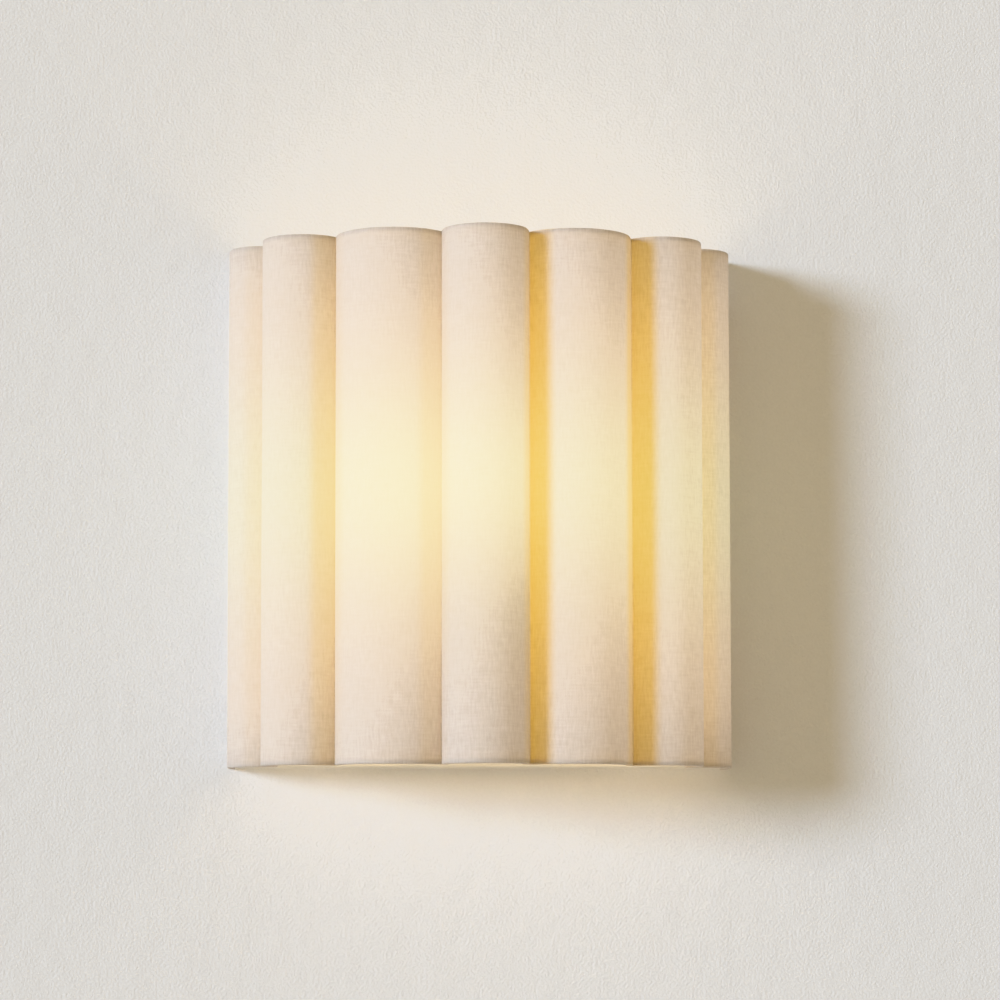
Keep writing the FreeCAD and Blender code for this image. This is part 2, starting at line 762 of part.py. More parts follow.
# -------------------------------------------------------------------- wiring
def lead(side):
    """Insulated wire from the holder down the nipple and back into the pan."""
    top = holder_base + nipple_in_holder
    run = lead_run_height
    points = [
        ("line", (-lamp_out, top), (-lamp_out, run + lead_bend)),
        ("arc", (-lamp_out + lead_bend, run + lead_bend), lead_bend, -180.0, -90.0),
        ("line", (-lamp_out + lead_bend, run), (-block_middle_out - lead_inner_bend, run)),
        ("arc", (-block_middle_out - lead_inner_bend, run + lead_inner_bend), lead_inner_bend, -90.0, 0.0),
        ("line", (-block_middle_out, run + lead_inner_bend), (-block_middle_out, block_bottom)),
    ]
    x = side * lead_apart / 2
    pieces = []
    for point in points:
        if point[0] == "line":
            first, last = V(x, *point[1]), V(x, *point[2])
            pieces.append(rod(lead_radius, (last - first).Length, first, last - first))
            continue
        middle, radius, start, end = V(x, *point[1]), point[2], point[3], point[4]
        spoke = V(0, math.cos(math.radians(start)), math.sin(math.radians(start)))
        along = V(1, 0, 0).cross(spoke)
        disc = Part.Face(Part.Wire(Part.makeCircle(lead_radius, middle + spoke * radius, along)))
        pieces.append(disc.revolve(middle, V(1, 0, 0), end - start))
    return fused(pieces)


def lead_grommet():
    """Rubber ring snapped into the pan round the leads."""
    back = pan_depth - pan_sheet - grommet_flange
    inner = pan_depth - pan_sheet
    front = pan_depth + grommet_flange
    groove = grommet_hole_radius - grommet_clearance
    flange = grommet_hole_radius + grommet_flange_width
    points = [(grommet_bore_radius, back), (flange, back), (flange, inner), (groove, inner),
              (groove, pan_depth), (flange, pan_depth), (flange, front), (grommet_bore_radius, front)]
    return turned(points, V(0, 0, lead_run_height), OUT)


def terminal_block():
    inner = pan_depth - pan_sheet
    body = block(V(-block_width / 2, -inner, block_bottom),
                 V(block_width / 2, -inner + block_depth, block_bottom + block_height))
    return body.cut(Part.makeCompound([screw_well(side) for side in (-1, 1)]))


def block_screw_place(side):
    return V(side * block_width / 4, -(pan_depth - pan_sheet - block_depth),
             block_bottom + block_height - block_screw_drop)


def screw_well(side):
    return rod(block_screw_radius + thread_clearance, block_depth / 2, block_screw_place(side), OUT)


def terminal_screws():
    screws = []
    for side in (-1, 1):
        start = block_screw_place(side) + OUT * block_screw_head
        screws.append(rod(block_screw_radius, block_depth / 2 - block_screw_head, start, OUT))
    return Part.makeCompound(screws)


# --------------------------------------------------------------------- output
SIDES = {"top": 1, "bottom": -1}
HANDS = {"left": -1, "right": 1}

save("linen_cover", linen_cover())
for number in range(len(LOBES)):
    save("lobe_liner_%d" % (number + 1), liner(number))
for number in range(len(VALLEYS)):
    save("valley_rib_%d" % (number + 1), valley_rib(number))
for name, side in SIDES.items():
    save("rolled_hem_" + name, hem(side))
    save("shade_ring_" + name, ring(side))
    save("back_bar_" + name, back_bar(side))
    save("thumb_nut_" + name, thumb_nut(side))
for name, side in HANDS.items():
    save("back_upright_" + name, back_upright(side))

save("wall_strap", wall_strap())
save("strap_studs", strap_studs())
save("strap_lock_nuts", strap_lock_nuts())
save("ground_screw", ground_screw())
save("back_pan", back_pan())
save("pan_cap_nuts", pan_cap_nuts())
save("shade_studs", shade_studs())
save("lamp_bracket", lamp_bracket())
save("bracket_rivets", bracket_rivets())

save("socket_body", socket_body())
save("socket_screw_shell", socket_screw_shell())
save("socket_contact", socket_contact())
save("holder_nipple", holder_nipple())
save("nipple_nut", nipple_nut())
save("lamp_cap", lamp_cap())
save("lamp_insulator", lamp_insulator())
save("lamp_button", lamp_button())
save("lamp_glass", lamp_glass())

save("lead_live", lead(-1))
save("lead_neutral", lead(1))
save("lead_grommet", lead_grommet())
save("terminal_block", terminal_block())
save("terminal_screws", terminal_screws())

print("width over the side lobes", round(2 * half_width, 2))
print("depth from the wall", round(front_lobe_out + front_lobe_radius, 2))
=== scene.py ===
"""Wall light with a scalloped linen shade: its finishes, its cloth, its light and its camera."""

import logging
import math
from dataclasses import dataclass, field
from enum import Enum
from typing import ClassVar, Optional

import bpy
from mathutils import Matrix, Vector, noise


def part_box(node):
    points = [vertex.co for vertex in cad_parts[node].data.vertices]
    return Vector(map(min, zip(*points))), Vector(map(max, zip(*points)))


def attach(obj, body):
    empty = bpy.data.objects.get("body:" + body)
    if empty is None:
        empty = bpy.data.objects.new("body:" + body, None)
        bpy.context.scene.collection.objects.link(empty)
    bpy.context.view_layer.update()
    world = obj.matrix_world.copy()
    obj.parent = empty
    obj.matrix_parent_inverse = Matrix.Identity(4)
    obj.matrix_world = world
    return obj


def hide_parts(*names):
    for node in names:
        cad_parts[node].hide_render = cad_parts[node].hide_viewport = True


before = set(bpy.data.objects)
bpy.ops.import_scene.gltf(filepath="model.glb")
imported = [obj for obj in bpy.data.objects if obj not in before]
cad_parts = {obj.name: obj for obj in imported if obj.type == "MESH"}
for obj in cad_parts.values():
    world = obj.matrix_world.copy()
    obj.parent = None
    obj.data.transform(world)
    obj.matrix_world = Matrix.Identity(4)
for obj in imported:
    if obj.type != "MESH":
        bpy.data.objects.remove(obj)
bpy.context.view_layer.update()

MM = 0.001
log = logging.getLogger("wall_light")

Socket = bpy.types.NodeSocket
Outputs = bpy.types.NodeOutputs
Pair = tuple[float, float]
Triple = tuple[float, float, float]
Colour = Triple


# ---- node helpers
class Tree:
    """Small wrapper that places nodes in a tree and links them."""

    COLUMN_WIDTH = 190.0

    def __init__(self, tree: bpy.types.NodeTree) -> None:
        """Start on the node tree of a material, a group or a world."""
        self.tree = tree
        self.column = 0

    def add(self, kind: str, inputs: Optional[dict] = None, **settings: object) -> bpy.types.Node:
        """Place a node, set its properties and fill its inputs.

        Args:
            kind: Blender's node type name.
            inputs: socket name or index to a value, or to a socket to link from.
            settings: node properties such as operation or data_type.

        Returns:
            The new node.
        """
        node = self.tree.nodes.new(kind)
        node.location = (self.column * self.COLUMN_WIDTH, 0.0)
        self.column += 1
        for name, value in settings.items():
            setattr(node, name, value)
        for name, value in (inputs or {}).items():
            self.feed(node.inputs[name], value)
        return node

    def feed(self, socket: Socket, value: object) -> None:
        """Link a socket from another socket, or give it a plain value.

        Args:
            socket: the input to fill.
            value: a socket, a number, a vector or a colour.
        """
        if isinstance(value, Socket):
            self.tree.links.new(value, socket)
        elif isinstance(value, tuple) and len(value) == 3 and socket.type == "RGBA":
            socket.default_value = (*value, 1.0)
        else:
            socket.default_value = value

    def math(self, operation: str, first: object, second: object = 0.0) -> Socket:
        """Return the output of a Math node."""
        return self.add("ShaderNodeMath", {0: first, 1: second}, operation=operation).outputs[0]

    def blend(self, share: float, first: object, second: object) -> Socket:
        """Return a sum of two values, with this share of the first and the rest of the second."""
        return self.math("ADD", self.math("MULTIPLY", first, share),
                         self.math("MULTIPLY", second, 1.0 - share))

    def vector(self, operation: str, first: object, second: object) -> Socket:
        """Return the output of a Vector Math node that joins two vectors."""
        node = self.add("ShaderNodeVectorMath", {0: first, 1: second}, operation=operation)
        return node.outputs["Value" if operation == "DOT_PRODUCT" else "Vector"]

    def noise(self, place: Socket, scale: object, detail: float, roughness: float = 0.5) -> Socket:
        """Return the value of a Noise Texture node."""
        return self.add("ShaderNodeTexNoise", {"Vector": place, "Scale": scale, "Detail": detail,
                                               "Roughness": roughness}).outputs[0]

    def where(self) -> Socket:
        """Return the object's own coordinates."""
        return self.add("ShaderNodeTexCoord").outputs["Object"]

    def bump(self, height: object, strength: float, distance: float) -> Socket:
        """Return the normal of a Bump node."""
        return self.add("ShaderNodeBump", {"Height": height, "Strength": strength,
                                           "Distance": distance}).outputs[0]

    def either(self, share: object, first: object, second: object) -> Socket:
        """Return a mix of two shaders, the second one by its share."""
        return self.add("ShaderNodeMixShader", {0: share, 1: first, 2: second}).outputs[0]

    def mix(self, share: object, first: object, second: object, blend: str = "MIX") -> Socket:
        """Return a mix of two colours, the second one by its share."""
        return self.add("ShaderNodeMix", {0: share, 6: first, 7: second}, data_type="RGBA",
                        blend_type=blend, clamp_factor=True).outputs[2]

    def ramp(self, value: object, low: float, high: float,
             to_low: object = 0.0, to_high: object = 1.0) -> Socket:
        """Return a value mapped to another range and clamped."""
        return self.add("ShaderNodeMapRange", {"Value": value, "From Min": low, "From Max": high,
                                               "To Min": to_low, "To Max": to_high}).outputs[0]


class SharedEffect:
    """A shader node group with named inputs and outputs, built once on first use."""

    name = "effect"
    inputs: dict[str, tuple[str, object]] = {}
    outputs: dict[str, str] = {}

    @classmethod
    def group(cls) -> bpy.types.ShaderNodeTree:
        """Return the group's node tree and build it the first time.

        Returns:
            The shared group.
        """
        found = bpy.data.node_groups.get(cls.name)
        if found is not None:
            return found
        made = bpy.data.node_groups.new(cls.name, "ShaderNodeTree")
        for label, (kind, value) in cls.inputs.items():
            socket = made.interface.new_socket(name=label, in_out="INPUT", socket_type=kind)
            if value is not None:
                socket.default_value = value
        for label, kind in cls.outputs.items():
            made.interface.new_socket(name=label, in_out="OUTPUT", socket_type=kind)
        tree = Tree(made)
        start = tree.add("NodeGroupInput")
        results = cls.build(tree, start.outputs)
        end = tree.add("NodeGroupOutput")
        for label, socket in results.items():
            tree.feed(end.inputs[label], socket)
        return made

    @classmethod
    def build(cls, tree: Tree, given: Outputs) -> dict[str, Socket]:
        """Make the inside of the group and return its outputs by name."""
        raise NotImplementedError

    @classmethod
    def place(cls, tree: Tree, **values: object) -> Outputs:
        """Put the group in a material with its own values.

        Args:
            tree: the material's tree.
            values: input name, with underscores for blanks, to a value or a socket.

        Returns:
            The group node's outputs.
        """
        node = tree.add("ShaderNodeGroup", node_tree=cls.group())
        for label, value in values.items():
            tree.feed(node.inputs[label.replace("_", " ")], value)
        return node.outputs


FLOAT, COLOUR, VECTOR = "NodeSocketFloat", "NodeSocketColor", "NodeSocketVector"
PLAIN: Colour = (1.0, 1.0, 1.0)


class ThreadWeave(SharedEffect):
    """Plain weave with uneven, slubby yarns, in the cloth's own metres."""

    name = "thread_weave"
    inputs = {"Cloth": (VECTOR, None), "Pitch": (FLOAT, 0.8 * MM), "Slub Width": (FLOAT, 1.2 * MM),
              "Slub Length": (FLOAT, 8.0 * MM)}
    outputs = {"Height": FLOAT, "Tone": FLOAT, "Gap": FLOAT}
    WANDER_SCALE = 160.0
    WANDER = 0.5 * MM
    UNDER_HEIGHT = 0.55
    GAP_EDGE = 0.35
    UPRIGHT_SHARE = 0.68
    TONE_RANGE = (0.34, 0.66)
    YARN_SHARE = 0.55
    OTHER_SEED = 3.7

    @classmethod
    def build(cls, tree: Tree, given: Outputs) -> dict[str, Socket]:
        """Make the yarns' height, their light and dark, and the gaps between them.

        Args:
            tree: the group's tree.
            given: the group's inputs by name.

        Returns:
            The outputs by name.
        """
        wander = tree.add("ShaderNodeTexNoise", {"Vector": given["Cloth"], "Scale": cls.WANDER_SCALE,
                                                 "Detail": 2.0})
        offset = tree.vector("ADD", wander.outputs["Color"], (-0.5, -0.5, -0.5))
        drift = tree.add("ShaderNodeVectorMath", {0: offset, "Scale": cls.WANDER}, operation="SCALE")
        place = tree.vector("ADD", given["Cloth"], drift.outputs[0])
        x, y = tree.add("ShaderNodeSeparateXYZ", {0: place}).outputs[:2]
        across = tree.math("DIVIDE", x, given["Pitch"])
        along = tree.math("DIVIDE", y, given["Pitch"])
        warp, weft = (tree.math("SINE", tree.math("MULTIPLY", tree.math("FRACT", run), math.pi))
                      for run in (across, along))
        crossing = tree.math("ADD", tree.math("FLOOR", across), tree.math("FLOOR", along))
        over = tree.math("PINGPONG", crossing, 1.0)
        warp_up = tree.math("MULTIPLY", warp, tree.ramp(weft, 0.0, 1.0, cls.UNDER_HEIGHT, 1.0))
        weft_up = tree.math("MULTIPLY", weft, tree.ramp(warp, 0.0, 1.0, cls.UNDER_HEIGHT, 1.0))
        height = tree.add("ShaderNodeMix", {0: over, 2: warp_up, 3: weft_up}, data_type="FLOAT").outputs[0]
        gap = tree.ramp(tree.math("MULTIPLY", warp, weft), 0.0, cls.GAP_EDGE, 1.0, 0.0)
        upright = tree.add("ShaderNodeCombineXYZ", {
            0: tree.math("DIVIDE", x, given["Slub Width"]), 1: tree.math("DIVIDE", y, given["Slub Length"])})
        slub = tree.noise(upright.outputs[0], 1.0, detail=3.0, roughness=0.6)
        level = tree.add("ShaderNodeCombineXYZ", {
            0: tree.math("DIVIDE", x, given["Slub Length"]), 1: tree.math("DIVIDE", y, given["Slub Width"]),
            2: cls.OTHER_SEED})
        cross_slub = tree.noise(level.outputs[0], 1.0, detail=2.0)
        tone = tree.ramp(tree.blend(cls.UPRIGHT_SHARE, slub, cross_slub), *cls.TONE_RANGE)
        return {"Height": tree.blend(cls.YARN_SHARE, height, tone), "Tone": tone, "Gap": gap}


class FineGrain(SharedEffect):
    """Uneven tone, gloss and fine relief of a coated, moulded, rolled or plated face."""

    name = "fine_grain"
    inputs = {"Stretch": (VECTOR, (1.0, 1.0, 1.0)), "Scale": (FLOAT, 400.0), "Colour": (COLOUR, None),
              "Shadow Colour": (COLOUR, None), "Gloss Low": (FLOAT, 0.3), "Gloss High": (FLOAT, 0.5)}
    outputs = {"Colour": COLOUR, "Roughness": FLOAT, "Height": FLOAT}
    BROAD = 0.07
    CLOUD_RANGE = (0.3, 0.7)
    SPECK_RANGE = (0.25, 0.75)
    CLOUD_SHARE = 0.6

    @classmethod
    def build(cls, tree: Tree, given: Outputs) -> dict[str, Socket]:
        """Make the varied colour, the roughness and the relief.

        Args:
            tree: the group's tree.
            given: the group's inputs by name.

        Returns:
            The outputs by name.
        """
        drawn = tree.vector("MULTIPLY", tree.where(), given["Stretch"])
        fine = tree.noise(drawn, given["Scale"], detail=4.0, roughness=0.6)
        broad_scale = tree.math("MULTIPLY", given["Scale"], cls.BROAD)
        broad = tree.noise(drawn, broad_scale, detail=3.0)
        cloud = tree.ramp(broad, *cls.CLOUD_RANGE)
        speck = tree.ramp(fine, *cls.SPECK_RANGE)
        both = tree.blend(cls.CLOUD_SHARE, cloud, speck)
        return {"Colour": tree.mix(both, given["Shadow Colour"], given["Colour"]),
                "Roughness": tree.ramp(both, 0.0, 1.0, given["Gloss Low"], given["Gloss High"]),
                "Height": fine}


class EdgeWear(SharedEffect):
    """Rubbed edges: a mask that is high on convex corners, broken up by noise."""

    name = "edge_wear"
    inputs = {"Reach": (FLOAT, 0.6 * MM), "Amount": (FLOAT, 0.6)}
    outputs = {"Mask": FLOAT}
    EDGE_RANGE = (0.97, 0.75)
    RUB_SCALE = 900.0
    RUB_RANGE = (0.35, 0.6)

    @classmethod
    def build(cls, tree: Tree, given: Outputs) -> dict[str, Socket]:
        """Make the wear mask.

        Args:
            tree: the group's tree.
            given: the group's inputs by name.

        Returns:
            The outputs by name.
        """
        rounded = tree.add("ShaderNodeBevel", {"Radius": given["Reach"]}, samples=4)
        flat = tree.add("ShaderNodeNewGeometry")
        level = tree.vector("DOT_PRODUCT", rounded.outputs[0], flat.outputs["Normal"])
        edge = tree.ramp(level, *cls.EDGE_RANGE)
        rub = tree.noise(tree.where(), cls.RUB_SCALE, detail=3.0)
        broken = tree.math("MULTIPLY", edge, tree.ramp(rub, *cls.RUB_RANGE))
        return {"Mask": tree.math("MULTIPLY", broken, given["Amount"])}


class SettledDust(SharedEffect):
    """Pale dust that lies on faces that look up."""

    name = "settled_dust"
    inputs = {"Colour": (COLOUR, None), "Dust Colour": (COLOUR, (0.62, 0.58, 0.52, 1.0)),
              "Amount": (FLOAT, 0.3)}
    outputs = {"Colour": COLOUR}
    UPWARD_RANGE = (0.45, 1.0)
    PATCH_SCALE = 420.0
    PATCH_RANGE = (0.35, 0.65)

    @classmethod
    def build(cls, tree: Tree, given: Outputs) -> dict[str, Socket]:
        """Make the dusted colour.

        Args:
            tree: the group's tree.
            given: the group's inputs by name.

        Returns:
            The outputs by name.
        """
        facing = tree.add("ShaderNodeNewGeometry")
        split = tree.add("ShaderNodeSeparateXYZ", {0: facing.outputs["Normal"]})
        upward = tree.ramp(split.outputs[2], *cls.UPWARD_RANGE)
        patch = tree.noise(tree.where(), cls.PATCH_SCALE, detail=4.0)
        lying = tree.math("MULTIPLY", upward, tree.ramp(patch, *cls.PATCH_RANGE))
        return {"Colour": tree.mix(tree.math("MULTIPLY", lying, given["Amount"]), given["Colour"],
                                   given["Dust Colour"])}


# ---- finishes
class Finish:
    """A finish that can make its material once and share it."""

    name = "finish"
    mixed: ClassVar[dict[str, bpy.types.Material]] = {}

    def material(self) -> bpy.types.Material:
        """Return the material and build it on first use.

        Returns:
            The shared material.
        """
        if self.name in self.mixed:
            return self.mixed[self.name]
        made = bpy.data.materials.new(self.name)
        self.mixed[self.name] = made
        made.use_nodes = True
        made.node_tree.nodes.clear()
        tree = Tree(made.node_tree)
        surface = self.shade(tree)
        end = tree.add("ShaderNodeOutputMaterial")
        tree.feed(end.inputs["Surface"], surface)
        return made

    def shade(self, tree: Tree) -> Socket:
        """Build the shader in the tree and return its output."""
        raise NotImplementedError


def filter_lamplight(tree: Tree, surface: Socket, passing: Colour) -> Socket:
    """Let light on its way to the outer linen through a layer that the eye sees as it is.

    Args:
        tree: the material's tree.
        surface: the layer's own shader.
        passing: what is left of the light.

    Returns:
        The shader with the filter in it.
    """
    clear = tree.add("ShaderNodeBsdfTransparent", {"Color": passing})
    path = tree.add("ShaderNodeLightPath")
    passes = tree.math("MAXIMUM", path.outputs["Is Shadow Ray"], path.outputs["Is Diffuse Ray"])
    return tree.either(passes, surface, clear.outputs[0])


@dataclass(frozen=True)
class LinenFinish(Finish):
    """Ivory linen, backed with white, that lets warm lamplight through, with painted light on that
    lamplight: a glow in the folds, a hot spot and a tint away from the lamp's height.
    """

    name: str = "ivory_linen"
    colour: Colour = (0.71, 0.665, 0.625)
    thin_colour: Colour = (0.54, 0.49, 0.44)
    backing: Colour = (0.95, 0.93, 0.895)
    glow: Colour = (0.84, 0.95, 0.87)
    # Painted light: lamplight through the folds is drawn this deeper yellow, most where the key light leaves
    # a fold's side in shade.
    painted_fold_glow: Colour = (0.91, 0.79, 0.18)
    # Painted light: lamplight through the linen takes this pinker tint away from the lamp's height.
    painted_far_tint: Colour = (1.0, 0.84, 0.95)
    see_through: float = 0.258
    fold_see_through: float = 0.295
    # Painted hot spot: lamplight through the linen is up to this much stronger at a place left of the lamp.
    painted_hot_spot_gain: float = 1.68
    pitch: float = 0.8 * MM
    relief: float = 0.22 * MM
    relief_strength: float = 0.8
    gap_share: float = 0.25
    roughness: float = 0.85
    specular: float = 0.2
    sheen: float = 0.08
    sheen_roughness: float = 0.6

    def shade(self, tree: Tree) -> Socket:
        """Make a mix of a rough cloth surface and light from behind, with painted light in that light: a
        deeper glow in the folds, a hot spot left of the lamp and a pinker tint away from the lamp's height.

        Args:
            tree: the material's tree.

        Returns:
            The shader's output.
        """
        cloth = tree.add("ShaderNodeUVMap", uv_map=ClothMesh.CLOTH_MAP)
        weave = ThreadWeave.place(tree, Cloth=cloth.outputs[0], Pitch=self.pitch)
        relief = tree.bump(weave["Height"], self.relief_strength, self.relief)
        yarn = tree.mix(weave["Tone"], self.thin_colour, self.colour)
        face = tree.mix(tree.math("MULTIPLY", weave["Gap"], self.gap_share), yarn, self.thin_colour)
        side = tree.add("ShaderNodeNewGeometry")
        base = tree.mix(side.outputs["Backfacing"], face, self.backing)
        # Masks of painted light on the cloth: the fold glow, the tint away from the lamp's height and the
        # hot spot.
        fold, level, near = (tree.add("ShaderNodeAttribute", attribute_name=mask).outputs["Fac"]
                             for mask in (ClothMesh.PAINTED_FOLD_MASK, ClothMesh.PAINTED_TINT_MASK, ClothMesh.PAINTED_HOT_SPOT_MASK))
        # Painted light: lamplight through the linen turns pinker away from the lamp's height.
        tint = tree.mix(level, self.painted_far_tint, PLAIN)
        glow_with_painted_folds = tree.mix(fold, self.glow, self.painted_fold_glow)
        passed = tree.mix(1.0, glow_with_painted_folds, tint, "MULTIPLY")
        front = tree.add("ShaderNodeBsdfPrincipled", {
            "Base Color": base, "Roughness": self.roughness, "Specular IOR Level": self.specular,
            "Sheen Weight": self.sheen, "Sheen Roughness": self.sheen_roughness, "Normal": relief})
        behind = tree.add("ShaderNodeBsdfTranslucent", {"Color": passed})
        # More lamplight passes in the folds: partly where the liners part, partly painted glow.
        even_share = tree.ramp(fold, 0.0, 1.0, self.see_through, self.fold_see_through)
        # Painted hot spot: more lamplight passes near a place left of the lamp.
        painted_hot_spot_boost = tree.ramp(near, 0.0, 1.0, 1.0, self.painted_hot_spot_gain)
        return tree.either(tree.math("MULTIPLY", even_share, painted_hot_spot_boost), front.outputs[0], behind.outputs[0])


@dataclass(frozen=True)
class HemFinish(LinenFinish):
    """The same linen turned in over a ring. Lamplight on its way to the face falls through it."""

    name: str = "turned_in_linen"
    passing: Colour = (0.97, 0.95, 0.92)

    def shade(self, tree: Tree) -> Socket:
        """Return linen that filters light on its way to the face."""
        return filter_lamplight(tree, super().shade(tree), self.passing)


@dataclass(frozen=True)
class GrainedFinish(Finish):
    """A finish with the shared grain, in its own colours, gloss and scale."""

    name: str = "grained"
    colour: Colour = (0.8, 0.8, 0.8)
    dull_colour: Colour = (0.7, 0.7, 0.7)
    gloss: Pair = (0.3, 0.5)
    scale: float = 400.0

    def grain(self, tree: Tree, **values: object) -> Outputs:
        """Return the outputs of the grain, placed with this finish's own values."""
        return FineGrain.place(tree, Scale=self.scale, Colour=self.colour, Shadow_Colour=self.dull_colour,
                               Gloss_Low=self.gloss[0], Gloss_High=self.gloss[1], **values)


@dataclass(frozen=True)
class LinerFinish(GrainedFinish):
    """Milky shade board. Lamplight on its way to the linen falls through it, a little weakened."""

    name: str = "shade_board"
    colour: Colour = (0.93, 0.90, 0.83)
    dull_colour: Colour = (0.88, 0.84, 0.76)
    glow: Colour = (0.93, 0.86, 0.70)
    passing: Colour = (0.96, 0.95, 0.93)
    see_through: float = 0.45
    gloss: Pair = (0.42, 0.55)
    scale: float = 260.0
    relief: float = 0.05 * MM
    relief_strength: float = 0.15

    def shade(self, tree: Tree) -> Socket:
        """Make milky board that filters light on its way to the linen.

        Args:
            tree: the material's tree.

        Returns:
            The shader's output.
        """
        grain = self.grain(tree)
        relief = tree.bump(grain["Height"], self.relief_strength, self.relief)
        front = tree.add("ShaderNodeBsdfPrincipled", {
            "Base Color": grain["Colour"], "Roughness": grain["Roughness"], "Normal": relief})
        behind = tree.add("ShaderNodeBsdfTranslucent", {"Color": self.glow})
        board = tree.either(self.see_through, front.outputs[0], behind.outputs[0])
        return filter_lamplight(tree, board, self.passing)


@dataclass(frozen=True)
class HardFinish(GrainedFinish):
    """A coated, plated, moulded or rolled hard surface."""

    name: str = "hard"
    worn: Colour = (0.5, 0.5, 0.5)
    metallic: float = 0.0
    stretch: Triple = (1.0, 1.0, 1.0)
    relief: float = 0.04 * MM
    wear: float = 0.5
    wear_reach: float = 0.5 * MM
    dust: float = 0.3
    coat: float = 0.0
    coat_roughness: float = 0.12
    relief_strength: float = 0.35

    def shade(self, tree: Tree) -> Socket:
        """Make a Principled shader with grain, rubbed edges and dust.

        Args:
            tree: the material's tree.

        Returns:
            The shader's output.
        """
        grain = self.grain(tree, Stretch=self.stretch)
        worn = EdgeWear.place(tree, Reach=self.wear_reach, Amount=self.wear)
        rubbed = tree.mix(worn["Mask"], grain["Colour"], self.worn)
        dusted = SettledDust.place(tree, Colour=rubbed, Amount=self.dust)
        relief = tree.bump(grain["Height"], self.relief_strength, self.relief)
        skin = tree.add("ShaderNodeBsdfPrincipled", {
            "Base Color": dusted["Colour"], "Metallic": self.metallic, "Roughness": grain["Roughness"],
            "Coat Weight": self.coat, "Coat Roughness": self.coat_roughness, "Normal": relief})
        return skin.outputs[0]


@dataclass(frozen=True)
class GlowingGlassFinish(GrainedFinish):
    """Opal bulb glass, lit from inside, dimmer towards its neck."""

    name: str = "lit_opal_glass"
    colour: Colour = (0.93, 0.90, 0.84)
    dull_colour: Colour = (0.88, 0.84, 0.77)
    gloss: Pair = (0.2, 0.3)
    scale: float = 300.0
    light: Colour = (1.0, 0.83, 0.63)
    neck_light: Colour = (0.55, 0.38, 0.24)
    strength: float = 8.5
    neck_height: float = -0.035
    full_height: float = 0.0

    def material(self) -> bpy.types.Material:
        """Return the material, sampled as a lamp from its outer side only.

        Returns:
            The shared material.
        """
        made = super().material()
        made.cycles.emission_sampling = "FRONT"
        return made

    def shade(self, tree: Tree) -> Socket:
        """Make a glossy opal skin that glows.

        Args:
            tree: the material's tree.

        Returns:
            The shader's output.
        """
        split = tree.add("ShaderNodeSeparateXYZ", {0: tree.where()})
        lit = tree.ramp(split.outputs[2], self.neck_height, self.full_height)
        grain = self.grain(tree)
        skin = tree.add("ShaderNodeBsdfPrincipled", {
            "Base Color": grain["Colour"], "Roughness": grain["Roughness"],
            "Emission Color": tree.mix(lit, self.neck_light, self.light),
            "Emission Strength": self.strength})
        return skin.outputs[0]


@dataclass(frozen=True)
class PlasterFinish(Finish):
    """Pale painted plaster, seen only from the room's side."""

    name: str = "pale_plaster"
    colour: Colour = (0.82, 0.825, 0.83)
    hollow_colour: Colour = (0.80, 0.805, 0.81)
    grain: float = 620.0
    tone_range: Pair = (0.35, 0.65)
    trowel_scale: float = 60.0
    trowel_share: float = 1.1
    relief: float = 0.6 * MM
    relief_strength: float = 0.9
    roughness: float = 0.9
    specular: float = 0.15

    def shade(self, tree: Tree) -> Socket:
        """Make matt plaster that vanishes from behind.

        Args:
            tree: the material's tree.

        Returns:
            The shader's output.
        """
        place = tree.where()
        fine = tree.noise(place, self.grain, detail=3.0, roughness=0.55)
        trowel = tree.noise(place, self.trowel_scale, detail=3.0)
        height = tree.math("ADD", fine, tree.math("MULTIPLY", trowel, self.trowel_share))
        colour = tree.mix(tree.ramp(fine, *self.tone_range), self.hollow_colour, self.colour)
        relief = tree.bump(height, self.relief_strength, self.relief)
        skin = tree.add("ShaderNodeBsdfPrincipled", {
            "Base Color": colour, "Roughness": self.roughness, "Specular IOR Level": self.specular,
            "Normal": relief})
        clear = tree.add("ShaderNodeBsdfTransparent")
        side = tree.add("ShaderNodeNewGeometry")
        return tree.either(side.outputs["Backfacing"], skin.outputs[0], clear.outputs[0])


WHITE_WIRE = HardFinish(
    "white_wire_coat", (0.86, 0.85, 0.81), (0.80, 0.79, 0.74), worn=(0.55, 0.54, 0.52),
    gloss=(0.32, 0.46), scale=900.0, relief=0.03 * MM, wear=0.25)
WHITE_PAN = HardFinish(
    "white_pan_coat", (0.86, 0.85, 0.82), (0.81, 0.80, 0.765), worn=(0.60, 0.59, 0.57),
    gloss=(0.34, 0.5), scale=700.0, relief=0.05 * MM, wear=0.35, dust=0.2)
ZINC = HardFinish(
    "zinc_plate", (0.66, 0.66, 0.64), (0.50, 0.51, 0.50), worn=(0.78, 0.78, 0.77), metallic=1.0,
    gloss=(0.28, 0.46), scale=520.0, stretch=(1.0, 1.0, 6.0), wear=0.6)
NICKEL = HardFinish(
    "satin_nickel", (0.72, 0.68, 0.62), (0.62, 0.585, 0.53), worn=(0.85, 0.82, 0.77), metallic=1.0,
    gloss=(0.2, 0.34), scale=800.0, stretch=(1.0, 5.0, 1.0), relief=0.02 * MM, wear=0.5)
BRASS = HardFinish(
    "plain_brass", (0.80, 0.60, 0.28), (0.62, 0.43, 0.18), worn=(0.90, 0.74, 0.42), metallic=1.0,
    gloss=(0.22, 0.4), scale=500.0, wear=0.5)
CAP_METAL = HardFinish(
    "rolled_cap", (0.78, 0.77, 0.75), (0.64, 0.63, 0.61), worn=(0.88, 0.88, 0.86), metallic=1.0,
    gloss=(0.24, 0.38), scale=700.0, stretch=(1.0, 1.0, 8.0), relief=0.02 * MM)
